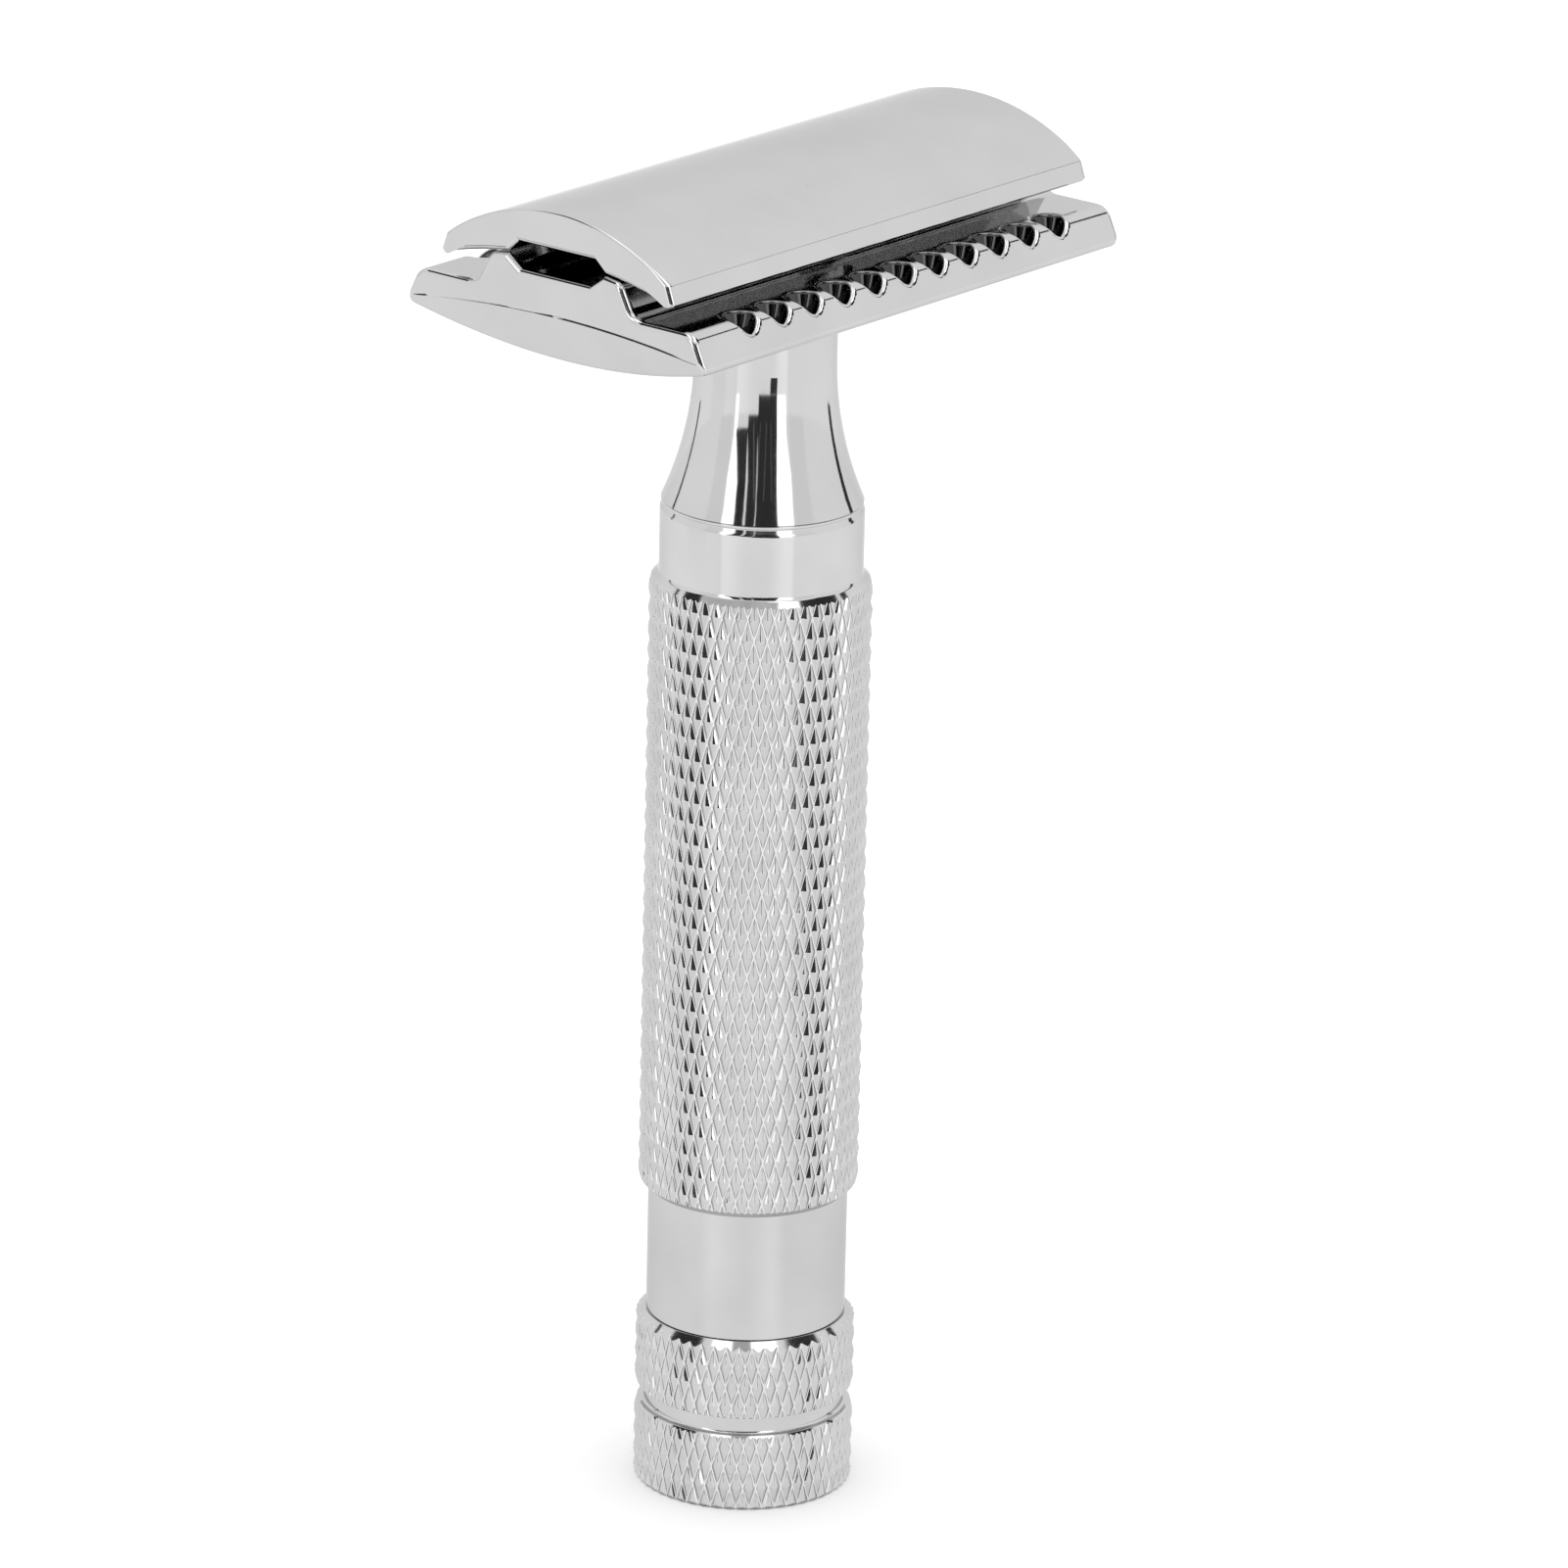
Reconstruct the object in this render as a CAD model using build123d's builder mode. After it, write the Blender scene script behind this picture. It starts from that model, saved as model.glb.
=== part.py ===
"""Twist-knob double-edge safety razor, made as the separate pieces of the real one.

Millimetres. The origin is the centre of the knob's foot, +Z runs up the handle to the cap,
X runs along the two cutting edges and Y across them.
"""

import os
from math import cos, radians, sin, sqrt

from build123d import *

# Blade clamp: a standard double-edge blade, bent over a shallow arc between cap and base plate
blade_thickness = 0.10
blade_bend_radius = 33.0
clamp_z = 88.84  # top of the base plate's blade seat on the centre line

# Cap
cap_length = 42.3
cap_top_z = 91.92
dome_radius = 15.8
facet_top_y = 9.30
lip_y = 9.70
lip_height = 0.22
channel_half_width = 4.0  # where the cap's channel and the base plate's trough meet
cap_channel_z = 89.45
cap_channel_top_half_width = 3.15
cap_edge_round = 0.30
cap_lower_edge_round = 0.20

# Base plate
plate_length = 42.6
seat_edge_y = 5.45
valley_foot_y = 6.55
valley_z = 86.25
nose_y = 11.45
guard_edge_y = 12.60
guard_edge_z = 83.80
belly_z = 81.90
trough_floor_z = 87.75
trough_floor_half_width = 2.85
seat_edge_round = 0.90
valley_round = 1.20
nose_round = 1.30
guard_edge_round = 0.50
plate_corner_round = 0.70
plate_edge_round = 0.45
end_bevel_top_z = 85.20
end_bevel_tilt = 22.0
end_bevel_radius = 230.0
end_bevel_height = 24.0
end_crease_round = 0.40
scallop_count = 11
scallop_pitch = 3.16
scallop_radius = 1.18
scallop_y = 10.68
scallop_floor_z = 84.35
scallop_floor_radius = 0.41
scallop_rim_round = 0.34
scallop_over_cut = 0.6  # how far the cutter stands above the valley

# Cap stud and locating pins, pressed into the cap
stud_radius = 2.5
stud_bottom_z = 77.1
stud_top_z = 90.6
stud_point = 0.5
stud_hole_radius = 3.0
pin_radius = 1.05
pin_x = 13.0
pin_bottom_z = 84.8
pin_hole_radius = 1.30
pin_hole_floor_z = 83.8

# Neck
spigot_radius = 4.4
spigot_top_z = 86.75
neck_pad_radius = 6.1
neck_pad_z = 81.6
neck_radius = 4.68
neck_head_round = 1.42
neck_flare_top_z = 78.0
neck_flare_radius = 23.4
neck_bottom_z = 68.60
neck_bore_radius = 3.75
neck_tenon_radius = 5.2
neck_tenon_bottom_z = 60.5

# Handle barrel
collar_radius = 6.72
collar_ease_height = 0.60
collar_ease_depth = 0.20
grip_radius = 7.35
grip_top_z = 63.0
grip_bottom_z = 21.35
grip_chamfer_height = 0.62
tail_radius = 6.66
barrel_bottom_z = 12.04
barrel_bore_radius = 5.2

# Knob
knob_top_z = 11.94
knob_shoulder_radius = 6.80
knob_chamfer_height = 0.54
upper_band_bottom_z = 6.57
lower_band_top_z = 5.27
band_chamfer = 0.20
foot_chamfer = 0.28
knob_recess_radius = 5.0
knob_recess_z = 11.0
foot_bore_radius = 3.4
foot_bore_z = 2.4
screw_clearance_radius = 1.6

# Drive rod, its threaded socket and their small hardware
rod_radius = 2.5
rod_bottom_z = 4.0
rod_top_z = 68.0
screw_radius = 1.5
screw_depth_z = 10.0
socket_radius = 3.5
socket_bottom_z = 58.0
socket_top_z = 83.5
socket_bore_bottom_z = 70.0
running_clearance = 0.05
cross_pin_radius = 0.75
cross_pin_z = 60.0
cross_pin_half_length = 3.4
lower_bush_span_z = (12.6, 20.0)
upper_bush_span_z = (62.5, 68.0)
upper_bush_radius = 4.6
thrust_washer_span_z = (20.05, 20.75)
clip_span_z = (20.80, 21.30)
clip_groove_margin = 0.02
clip_groove_radius = 2.0
clip_outer_radius = 3.9
clip_relief_radius = 2.9
clip_mouth_width = 3.2
clip_lug_width = 1.3
washer_outer_radius = 4.6
spring_washer_thickness = 0.40
spring_washer_span_z = (11.05, 12.52)
lock_washer_thickness = 0.40
lock_washer_radius = 2.9
screw_head_radius = 2.75
screw_head_z = 0.35
screw_tip_z = 9.6
screw_slot_width = 0.8
screw_slot_depth = 0.8


same_point = 1e-6  # two places closer than this are one corner


def drop(radius, y):
    """How far a crowned arc of this radius has fallen at a distance y from its centre line."""
    return radius - sqrt(radius**2 - y**2)


def dome_point(y):
    return (y, cap_top_z - drop(dome_radius, y))


def cap_seat_point(y):
    return (y, clamp_z + blade_thickness - drop(blade_bend_radius, y))


def plate_seat_point(y):
    return (y, clamp_z - drop(blade_bend_radius, y))


def is_end_crease(edge):
    """True for the crease between an end face of the base plate and the bevel under it."""
    place = edge.center()
    on_end = abs(abs(place.X) - plate_length / 2) < same_point
    return on_end and edge.length > plate_length / 4 and guard_edge_z < place.Z < valley_z


def is_scallop_rim(edge):
    """True for the edges that the scallops cut in the guard noses, but not those of their floors."""
    place = edge.center()
    on_nose = abs(abs(place.Y) - scallop_y) < scallop_radius + scallop_rim_round
    among_scallops = abs(place.X) < scallop_pitch * scallop_count / 2 + scallop_rim_round
    is_short = edge.length < 2 * scallop_pitch
    return on_nose and among_scallops and is_short and place.Z > scallop_floor_z + scallop_rim_round


def keep(piece, name):
    """Labels a finished piece and writes it as its own file."""
    piece.part.label = name
    export_step(piece.part, f"parts/{name}.step")


def make_ring(name, outer_radius, inner_radius, span_z):
    """A plain bush or washer on the handle's axis."""
    with BuildPart() as ring:
        with BuildSketch(Plane.XY.offset(span_z[0])):
            Circle(outer_radius)
            Circle(inner_radius, mode=Mode.SUBTRACT)
        extrude(amount=span_z[1] - span_z[0])
    keep(ring, name)


os.makedirs("parts", exist_ok=True)

# ---- Cap: a dome extruded along the blade, with a hollow channel under its centre line ----
lip_in_y = lip_y - lip_height
under_mid_y = (channel_half_width + lip_in_y) / 2

with BuildPart() as top_cap:
    with BuildSketch(Plane.YZ):
        with BuildLine():
            ThreePointArc((0, cap_top_z), dome_point(facet_top_y / 2), dome_point(facet_top_y))
            lip = (lip_y, cap_seat_point(lip_in_y)[1] + lip_height)
            Line(dome_point(facet_top_y), lip)
            Line(lip, cap_seat_point(lip_in_y))
            ThreePointArc(
                cap_seat_point(lip_in_y), cap_seat_point(under_mid_y), cap_seat_point(channel_half_width)
            )
            Line(cap_seat_point(channel_half_width), (cap_channel_top_half_width, cap_channel_z))
            Line((cap_channel_top_half_width, cap_channel_z), (0, cap_channel_z))
            mirror(about=Plane.YZ)
        make_face()
    extrude(amount=cap_length / 2, both=True)
    ends = top_cap.faces().filter_by(Axis.X)
    dome_rim = ends.edges().filter_by(lambda edge: edge.center().Z > stud_top_z)
    lip_rims = ends.edges().filter_by(lambda edge: abs(edge.center().Y) > facet_top_y)
    fillet(dome_rim + lip_rims, cap_edge_round)
    ends = top_cap.faces().filter_by(Axis.X)
    fillet(ends.edges().filter_by(lambda edge: edge.center().Z < stud_top_z), cap_lower_edge_round)
    with Locations((0, 0, cap_channel_z)):
        Cylinder(stud_radius, stud_top_z - cap_channel_z, align=(Align.CENTER, Align.CENTER, Align.MIN),
                 mode=Mode.SUBTRACT)
    with Locations((-pin_x, 0, cap_channel_z), (pin_x, 0, cap_channel_z)):
        Cylinder(pin_radius, stud_top_z - cap_channel_z, align=(Align.CENTER, Align.CENTER, Align.MIN),
                 mode=Mode.SUBTRACT)
keep(top_cap, "top_cap")

with BuildPart() as cap_stud:
    with BuildSketch(Plane.XY.offset(stud_bottom_z)):
        Circle(stud_radius)
    extrude(amount=stud_top_z - stud_bottom_z)
    chamfer(cap_stud.faces().sort_by(Axis.Z)[0].edges(), stud_point)
keep(cap_stud, "cap_stud")

for side, x in (("left", -pin_x), ("right", pin_x)):
    with BuildPart() as locating_pin:
        with BuildSketch(Plane.XY.offset(pin_bottom_z)):
            with Locations((x, 0)):
                Circle(pin_radius)
        extrude(amount=stud_top_z - pin_bottom_z)
        chamfer(locating_pin.faces().sort_by(Axis.Z)[0].edges(), pin_radius / 3)
    keep(locating_pin, f"locating_pin_{side}")

# ---- Base plate: blade seat, centre trough, two guard valleys and two scalloped guard noses ----
with BuildPart() as base_plate:
    with BuildSketch(Plane.YZ) as plate_profile:
        with BuildLine():
            Line((0, trough_floor_z), (trough_floor_half_width, trough_floor_z))
            Line((trough_floor_half_width, trough_floor_z), plate_seat_point(channel_half_width))
            ThreePointArc(
                plate_seat_point(channel_half_width),
                plate_seat_point((channel_half_width + seat_edge_y) / 2),
                plate_seat_point(seat_edge_y),
            )
            Polyline(
                plate_seat_point(seat_edge_y),
                (valley_foot_y, valley_z),
                (nose_y, valley_z),
                (guard_edge_y, guard_edge_z),
            )
            belly_radius = (guard_edge_y**2 + (guard_edge_z - belly_z) ** 2) / (2 * (guard_edge_z - belly_z))
            ThreePointArc(
                (guard_edge_y, guard_edge_z),
                (guard_edge_y / 2, belly_z + drop(belly_radius, guard_edge_y / 2)),
                (0, belly_z),
            )
            mirror(about=Plane.YZ)
        make_face()
        for y, z, size in (
            (*plate_seat_point(seat_edge_y), seat_edge_round),
            (valley_foot_y, valley_z, valley_round),
            (nose_y, valley_z, nose_round),
            (guard_edge_y, guard_edge_z, guard_edge_round),
        ):
            corners = [v for v in plate_profile.vertices() if abs(abs(v.X) - y) + abs(v.Y - z) < same_point]
            fillet(corners, size)
    extrude(amount=plate_length / 2, both=True)
    ends = base_plate.faces().filter_by(Axis.X)
    rim = ends.edges().filter_by(lambda edge: edge.center().Z > guard_edge_z + guard_edge_round)
    fillet(rim, plate_edge_round)
    with BuildSketch(Plane.XY.offset(belly_z)):
        RectangleRounded(plate_length, 2 * guard_edge_y, plate_corner_round)
    extrude(amount=clamp_z - belly_z, mode=Mode.INTERSECT)
    # The ends lean in under a crease that is highest on the centre line
    for end in (-1, 1):
        tilt = radians(end_bevel_tilt)
        cutter = (
            end * (plate_length / 2 + end_bevel_radius * cos(tilt)),
            0,
            end_bevel_top_z - end_bevel_radius * sin(tilt),
        )
        with Locations(Location(cutter, (0, end * end_bevel_tilt, 0))):
            Cylinder(end_bevel_radius, end_bevel_height, mode=Mode.SUBTRACT)
    fillet(base_plate.edges().filter_by(is_end_crease), end_crease_round)
    # Round pad under the belly, where the neck is joined
    with BuildSketch(Plane.XY.offset(neck_pad_z)):
        Circle(neck_pad_radius)
    extrude(amount=trough_floor_z - neck_pad_z)
    with BuildSketch(Plane.XY.offset(neck_pad_z)):
        Circle(spigot_radius)
    extrude(amount=spigot_top_z - neck_pad_z, mode=Mode.SUBTRACT)
    with BuildSketch(Plane.XY.offset(spigot_top_z)):
        Circle(stud_hole_radius)
    extrude(amount=clamp_z - spigot_top_z, mode=Mode.SUBTRACT)
    with BuildSketch(Plane.XY.offset(pin_hole_floor_z)):
        with Locations((-pin_x, 0), (pin_x, 0)):
            Circle(pin_hole_radius)
    extrude(amount=clamp_z - pin_hole_floor_z, mode=Mode.SUBTRACT)
    # Conical scallops across both guard noses leave narrow teeth between them
    scallop_slope = (scallop_radius - scallop_floor_radius) / (valley_z - scallop_floor_z)
    scallop_height = valley_z + scallop_over_cut - scallop_floor_z
    for y in (-scallop_y, scallop_y):
        with Locations((0, y, scallop_floor_z)):
            with GridLocations(scallop_pitch, 0, scallop_count, 1):
                Cone(
                    scallop_floor_radius,
                    scallop_floor_radius + scallop_slope * scallop_height,
                    scallop_height,
                    align=(Align.CENTER, Align.CENTER, Align.MIN),
                    mode=Mode.SUBTRACT,
                )
    rims = base_plate.edges().filter_by(is_scallop_rim)
    fillet(rims, scallop_rim_round)
keep(base_plate, "base_plate")

# ---- Neck: spigot into the base plate, waisted body, tenon into the barrel ----
with BuildPart() as neck:
    with BuildSketch(Plane.XZ):
        with BuildLine():
            flare_mid_z = (neck_flare_top_z + neck_bottom_z) / 2
            flare_mid = (neck_radius + drop(neck_flare_radius, neck_flare_top_z - flare_mid_z), flare_mid_z)
            flare_end = (
                neck_radius + drop(neck_flare_radius, neck_flare_top_z - neck_bottom_z), neck_bottom_z
            )
            head_round_z = neck_pad_z - neck_head_round
            Polyline(
                (neck_bore_radius, spigot_top_z),
                (spigot_radius, spigot_top_z),
                (spigot_radius, neck_pad_z),
                (neck_radius + neck_head_round, neck_pad_z),
            )
            RadiusArc(
                (neck_radius + neck_head_round, neck_pad_z), (neck_radius, head_round_z), -neck_head_round
            )
            Line((neck_radius, head_round_z), (neck_radius, neck_flare_top_z))
            ThreePointArc((neck_radius, neck_flare_top_z), flare_mid, flare_end)
            Polyline(
                flare_end,
                (neck_tenon_radius, neck_bottom_z),
                (neck_tenon_radius, neck_tenon_bottom_z),
                (upper_bush_radius, neck_tenon_bottom_z),
                (upper_bush_radius, upper_bush_span_z[1]),
                (neck_bore_radius, upper_bush_span_z[1]),
                (neck_bore_radius, spigot_top_z),
            )
        make_face()
    revolve(axis=Axis.Z)
keep(neck, "neck")

# ---- Barrel: polished collar, grip band (plain here, at its crests) and polished tail ----
with BuildPart() as handle_barrel:
    with BuildSketch(Plane.XZ):
        with BuildLine():
            Polyline(
                (barrel_bore_radius, neck_bottom_z),
                (collar_radius - collar_ease_depth, neck_bottom_z),
                (collar_radius, neck_bottom_z - collar_ease_height),
                (collar_radius, grip_top_z + grip_chamfer_height),
                (grip_radius, grip_top_z),
                (grip_radius, grip_bottom_z),
                (tail_radius, grip_bottom_z - grip_chamfer_height),
                (tail_radius, barrel_bottom_z),
                (barrel_bore_radius, barrel_bottom_z),
                close=True,
            )
        make_face()
    revolve(axis=Axis.Z)
keep(handle_barrel, "handle_barrel")

# ---- Knob: two bands with a groove between them, a recess on top and a bore in the foot ----
with BuildPart() as knob:
    with BuildSketch(Plane.XZ):
        with BuildLine():
            Polyline(
                (rod_radius, knob_recess_z),
                (knob_recess_radius, knob_recess_z),
                (knob_recess_radius, knob_top_z),
                (knob_shoulder_radius, knob_top_z),
                (grip_radius, knob_top_z - knob_chamfer_height),
                (grip_radius, upper_band_bottom_z + band_chamfer),
                (grip_radius - band_chamfer, upper_band_bottom_z),
                (tail_radius, upper_band_bottom_z),
                (tail_radius, lower_band_top_z),
                (grip_radius - band_chamfer, lower_band_top_z),
                (grip_radius, lower_band_top_z - band_chamfer),
                (grip_radius, foot_chamfer),
                (grip_radius - foot_chamfer, 0),
                (foot_bore_radius, 0),
                (foot_bore_radius, foot_bore_z),
                (screw_clearance_radius, foot_bore_z),
                (screw_clearance_radius, rod_bottom_z),
                (rod_radius, rod_bottom_z),
                close=True,
            )
        make_face()
    revolve(axis=Axis.Z)
keep(knob, "knob")

# ---- Drive: rod, threaded socket (plain bore at the thread's clearance) and cross pin ----
with BuildPart() as drive_rod:
    with BuildSketch(Plane.XY.offset(rod_bottom_z)):
        Circle(rod_radius)
    extrude(amount=rod_top_z - rod_bottom_z)
    with BuildSketch(Plane.XY.offset(rod_bottom_z)):
        Circle(screw_radius)
    extrude(amount=screw_depth_z - rod_bottom_z, mode=Mode.SUBTRACT)
    with BuildSketch(Plane.XY.offset(clip_span_z[0] - clip_groove_margin)):
        Circle(rod_radius)
        Circle(clip_groove_radius, mode=Mode.SUBTRACT)
    extrude(amount=clip_span_z[1] - clip_span_z[0] + 2 * clip_groove_margin, mode=Mode.SUBTRACT)
    with BuildSketch(Plane.YZ):
        with Locations((0, cross_pin_z)):
            Circle(cross_pin_radius)
    extrude(amount=rod_radius, both=True, mode=Mode.SUBTRACT)
keep(drive_rod, "drive_rod")

with BuildPart() as threaded_socket:
    with BuildSketch(Plane.XY.offset(socket_bottom_z)):
        Circle(socket_radius)
    extrude(amount=socket_top_z - socket_bottom_z)
    with BuildSketch(Plane.XY.offset(socket_bottom_z)):
        Circle(rod_radius)
    extrude(amount=rod_top_z - socket_bottom_z, mode=Mode.SUBTRACT)
    with BuildSketch(Plane.XY.offset(socket_bore_bottom_z)):
        Circle(stud_radius + running_clearance)
    extrude(amount=socket_top_z - socket_bore_bottom_z, mode=Mode.SUBTRACT)
    with BuildSketch(Plane.YZ):
        with Locations((0, cross_pin_z)):
            Circle(cross_pin_radius)
    extrude(amount=socket_radius, both=True, mode=Mode.SUBTRACT)
keep(threaded_socket, "threaded_socket")

with BuildPart() as cross_pin:
    with BuildSketch(Plane.YZ):
        with Locations((0, cross_pin_z)):
            Circle(cross_pin_radius)
    extrude(amount=cross_pin_half_length, both=True)
keep(cross_pin, "cross_pin")

# ---- Bushes, thrust washer and clip that carry the rod in the handle ----
make_ring("upper_bush", upper_bush_radius, socket_radius + running_clearance, upper_bush_span_z)
make_ring("lower_bush", barrel_bore_radius, rod_radius + running_clearance, lower_bush_span_z)
make_ring("thrust_washer", washer_outer_radius, rod_radius + running_clearance, thrust_washer_span_z)

with BuildPart() as retaining_clip:
    with BuildSketch(Plane.XY.offset(clip_span_z[0])):
        Circle(clip_outer_radius)
        Circle(clip_relief_radius, mode=Mode.SUBTRACT)
        for lug_angle in (0, 120, 240):
            with Locations(Location((0, 0, 0), (0, 0, lug_angle))):
                with Locations((0, (clip_groove_radius + clip_relief_radius) / 2)):
                    Rectangle(clip_lug_width, clip_relief_radius)
        Circle(clip_groove_radius, mode=Mode.SUBTRACT)
        with Locations((0, -clip_outer_radius)):
            Rectangle(clip_mouth_width, 2 * clip_outer_radius - clip_groove_radius, mode=Mode.SUBTRACT)
    extrude(amount=clip_span_z[1] - clip_span_z[0])
keep(retaining_clip, "retaining_clip")

# ---- Cone spring washer that keeps a light drag on the knob ----
with BuildPart() as spring_washer:
    with BuildSketch(Plane.XZ):
        with BuildLine():
            low, high = spring_washer_span_z
            Polyline(
                (washer_outer_radius, low),
                (washer_outer_radius, low + spring_washer_thickness),
                (rod_radius + 4 * running_clearance, high),
                (rod_radius + 4 * running_clearance, high - spring_washer_thickness),
                close=True,
            )
        make_face()
    revolve(axis=Axis.Z)
keep(spring_washer, "spring_washer")

# ---- Foot screw and its lock washer, which hold the knob on the rod ----
lock_washer_span_z = (foot_bore_z - lock_washer_thickness, foot_bore_z)
make_ring("lock_washer", lock_washer_radius, screw_clearance_radius, lock_washer_span_z)

with BuildPart() as foot_screw:
    with BuildSketch(Plane.XY.offset(screw_head_z)):
        Circle(screw_head_radius)
    extrude(amount=lock_washer_span_z[0] - screw_head_z)
    fillet(foot_screw.faces().sort_by(Axis.Z)[0].edges(), screw_slot_depth / 2)
    with BuildSketch(Plane.XY.offset(lock_washer_span_z[0])):
        Circle(screw_radius)
    extrude(amount=screw_tip_z - lock_washer_span_z[0])
    with BuildSketch(Plane.XY.offset(screw_head_z)):
        Rectangle(2 * screw_head_radius, screw_slot_width)
    extrude(amount=screw_slot_depth, mode=Mode.SUBTRACT)
keep(foot_screw, "foot_screw")
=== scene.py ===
"""Looks of the twist-knob safety razor: knurled grip and knob, rounded cap, chrome, and a plain studio."""

import math

import bpy
from mathutils import Matrix, Vector


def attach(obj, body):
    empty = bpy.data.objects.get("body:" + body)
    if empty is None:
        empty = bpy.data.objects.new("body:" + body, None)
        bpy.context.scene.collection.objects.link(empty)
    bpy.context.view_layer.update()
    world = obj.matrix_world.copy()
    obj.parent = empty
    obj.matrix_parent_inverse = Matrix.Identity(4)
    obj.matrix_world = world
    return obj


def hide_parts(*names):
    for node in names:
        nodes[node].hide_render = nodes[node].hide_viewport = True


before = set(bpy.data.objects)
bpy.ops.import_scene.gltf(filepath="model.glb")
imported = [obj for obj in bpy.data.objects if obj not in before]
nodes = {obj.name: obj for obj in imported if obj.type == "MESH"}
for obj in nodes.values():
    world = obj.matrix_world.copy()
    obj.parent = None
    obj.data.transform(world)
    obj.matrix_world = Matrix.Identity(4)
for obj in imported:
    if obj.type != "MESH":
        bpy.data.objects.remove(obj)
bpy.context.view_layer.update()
MM = 0.001
TURN = 2 * math.pi


# ---------------------------------------------------------------- meshes from faces with exact normals


def make_piece(name, faces, body, node, material):
    """A mesh piece in millimetres that stands for a CAD node.

    Each face is a list of corners: a place, a normal and, in a knurl, how deep in a groove the corner is."""
    index, points, grooves, polygons, normals = {}, [], [], [], []
    for face in faces:
        loop = []
        for place, normal, *groove in face:
            key = tuple(round(c, 5) + 0.0 for c in place)
            if key not in index:
                index[key] = len(points)
                points.append([c * MM for c in place])
                grooves.append(0.0)
            grooves[index[key]] = max([grooves[index[key]]] + groove)
            if index[key] not in [corner[0] for corner in loop]:
                loop.append((index[key], normal))
        if len(loop) > 2:
            polygons.append([corner[0] for corner in loop])
            normals += [Vector(corner[1]).normalized() for corner in loop]
    mesh = bpy.data.meshes.new(name)
    mesh.from_pydata(points, [], polygons)
    mesh.polygons.foreach_set("use_smooth", [True] * len(mesh.polygons))
    mesh.normals_split_custom_set(normals)
    if any(grooves):
        mesh.attributes.new("groove", "FLOAT", "POINT").data.foreach_set("value", grooves)
    mesh.materials.append(material)
    piece = bpy.data.objects.new(name, mesh)
    bpy.context.scene.collection.objects.link(piece)
    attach(piece, body)
    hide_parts(node)
    return piece


# Turned parts. A corner is (angle, z, r, tangential, axial and radial part of the normal), and in a knurl
# also how deep in a groove it is, from 0 on a facet to 1 in the groove.


def turned_corner(corner):
    """The place and normal in space of a corner of a turned part."""
    angle, z, r, nt, nz, nr, *groove = corner
    c, s = math.cos(angle), math.sin(angle)
    return (r * c, r * s, z), (nr * c - nt * s, nr * s + nt * c, nz), *groove


SMOOTH_TURN = math.radians(10)  # an outline's corners that turn less than this are points of a curve


def rounded(points, radii, closed=False, steps=7):
    """Strips (start, start normal, end, end normal) along a profile of (r, z) points with rounded corners.

    The solid is on the left of the way that the points go, so outer walls go up and bores go down."""
    count = len(points)
    outline = []
    for i, point in enumerate(points):
        radius = radii.get(i, 0)
        before, after = Vector(points[i - 1]), Vector(points[(i + 1) % count])
        corner = Vector(point)
        way_in, way_out = (corner - before).normalized(), (after - corner).normalized()
        turn = math.atan2(way_in.x * way_out.y - way_in.y * way_out.x, way_in.dot(way_out))
        if not radius:
            inner = closed or 0 < i < count - 1
            way = (way_in + way_out).normalized()
            outline.append([(point, (way.y, -way.x) if inner and abs(turn) < SMOOTH_TURN else None)])
            continue
        reach = radius * math.tan(abs(turn) / 2)
        side = math.copysign(1, turn)
        start = corner - way_in * reach
        centre = start + Vector((-way_in.y, way_in.x)) * side * radius
        arc = []
        for k in range(steps + 1):
            angle = turn * k / steps
            spoke = start - centre
            c, s = math.cos(angle), math.sin(angle)
            spoke = Vector((spoke.x * c - spoke.y * s, spoke.x * s + spoke.y * c))
            arc.append((tuple(centre + spoke), tuple(spoke.normalized() * side)))
        outline.append(arc)
    strips = []
    for i, arc in enumerate(outline):
        strips += [(a[0], a[1], b[0], b[1]) for a, b in zip(arc, arc[1:])]
        if i + 1 < count or closed:
            start, end = Vector(arc[-1][0]), Vector(outline[(i + 1) % count][0][0])
            way = (end - start).normalized()
            if (end - start).length > 1e-6:
                flat = (way.y, -way.x)
                next_normal = outline[(i + 1) % count][0][1]
                strips.append((tuple(start), arc[-1][1] or flat, tuple(end), next_normal or flat))
    return strips


def ring(angles, place, normal):
    return [(angle, place[1], place[0], 0, normal[1], normal[0]) for angle in angles]


def zip_rings(low, high):
    """Triangles between two rings whose corners stand at different angles."""
    faces, i, j = [], 0, 0
    a, b = low + [(low[0][0] + TURN, *low[0][1:])], high + [(high[0][0] + TURN, *high[0][1:])]
    while i < len(low) or j < len(high):
        if j == len(high) or (i < len(low) and a[i + 1][0] <= b[j + 1][0]):
            faces.append([a[i], a[i + 1], b[j]])
            i += 1
        else:
            faces.append([a[i], b[j + 1], b[j]])
            j += 1
    return faces


def turn_profile(strips, stations, first=None, last=None):
    """Faces of a turned surface. first and last are rings of a neighbouring band that it joins."""
    angles = [TURN * k / stations for k in range(stations)]
    faces = []
    for i, (start, start_normal, end, end_normal) in enumerate(strips):
        low, high = ring(angles, start, start_normal), ring(angles, end, end_normal)
        if i == 0 and first:
            low = [(*corner[:3], 0, start_normal[1], start_normal[0]) for corner in first]
            faces += zip_rings(low, high)
        elif i == len(strips) - 1 and last:
            high = [(*corner[:3], 0, end_normal[1], end_normal[0]) for corner in last]
            faces += zip_rings(low, high)
        else:
            for k in range(stations):
                n = (k + 1) % stations
                faces.append([low[k], low[n], high[n], high[k]])
    return faces


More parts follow.
